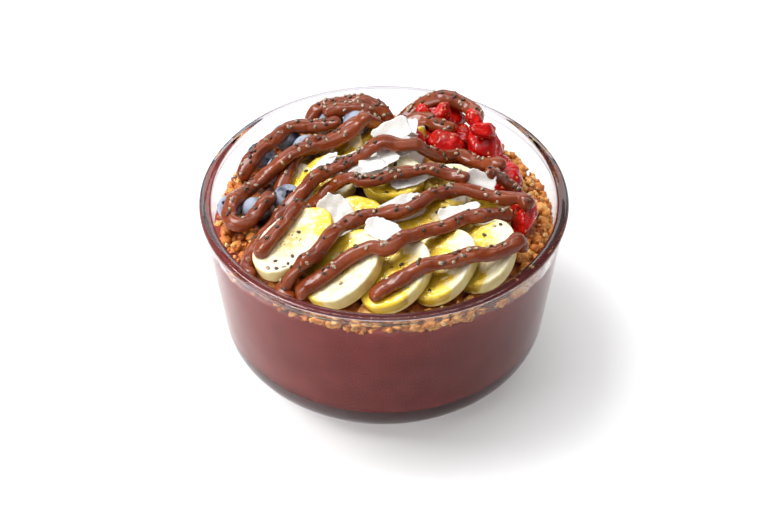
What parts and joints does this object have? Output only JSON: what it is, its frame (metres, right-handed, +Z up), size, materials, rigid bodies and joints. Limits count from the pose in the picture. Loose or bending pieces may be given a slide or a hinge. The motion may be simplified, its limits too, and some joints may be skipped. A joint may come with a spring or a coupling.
{
  "type": "acai bowl",
  "caption": "Round clear glass bowl of acai topped with granola, banana, blueberries, strawberries, coconut flakes and chocolate drizzle.",
  "frame": {"origin": "centre of the bowl's flat foot, on the surface it stands on", "axes": "+Z up along the bowl's turning axis; -Y to the side with the banana slices, +X to the strawberries"},
  "size_m": [0.165, 0.165, 0.1026],
  "materials": {
    "glass": "clear polished tempered glass",
    "acai": "dense smooth frozen puree, dull purple-brown",
    "granola": "toasted clusters, rough, golden brown",
    "banana": "moist cut flesh with honey on it",
    "blueberry": "dusty bloom over dark blue skin",
    "strawberry": "wet glossy red flesh",
    "coconut": "thin white shavings",
    "chocolate": "soft glossy milk chocolate",
    "honey": "clear yellow syrup",
    "seed": "small dry seeds, dark and pale"
  },
  "bodies": {
    "root": {"acai_base": "acai", "banana_slice_01": "banana", "banana_slice_02": "banana", "banana_slice_03": "banana", "banana_slice_04": "banana", "banana_slice_05": "banana", "banana_slice_06": "banana", "banana_slice_07": "banana", "banana_slice_08": "banana", "banana_slice_09": "banana", "banana_slice_10": "banana", "banana_slice_11": "banana", "blueberry_01": "blueberry", "blueberry_02": "blueberry", "blueberry_03": "blueberry", "blueberry_04": "blueberry", "blueberry_05": "blueberry", "blueberry_06": "blueberry", "blueberry_07": "blueberry", "blueberry_08": "blueberry", "blueberry_09": "blueberry", "blueberry_10": "blueberry", "chocolate_back_left": "chocolate", "chocolate_back_left_inner": "chocolate", "chocolate_back_right": "chocolate", "chocolate_back_right_inner": "chocolate", "chocolate_front": "chocolate", "chocolate_front_right": "chocolate", "chocolate_left_inner": "chocolate", "chocolate_left_loop": "chocolate", "chocolate_left_outer": "chocolate", "chocolate_long_end": "chocolate", "chocolate_long_lower": "chocolate", "chocolate_long_upper": "chocolate", "chocolate_middle": "chocolate", "coconut_flake_01": "coconut", "coconut_flake_02": "coconut", "coconut_flake_03": "coconut", "coconut_flake_04": "coconut", "coconut_flake_05": "coconut", "coconut_flake_06": "coconut", "coconut_flake_07": "coconut", "coconut_flake_08": "coconut", "coconut_flake_09": "coconut", "coconut_flake_10": "coconut", "coconut_flake_11": "coconut", "coconut_flake_12": "coconut", "glass_bowl": "glass", "granola_bed": "granola", "strawberry_piece_01": "strawberry", "strawberry_piece_02": "strawberry", "strawberry_piece_03": "strawberry", "strawberry_piece_04": "strawberry", "strawberry_piece_05": "strawberry", "strawberry_piece_06": "strawberry"}
  },
  "joints": []
}
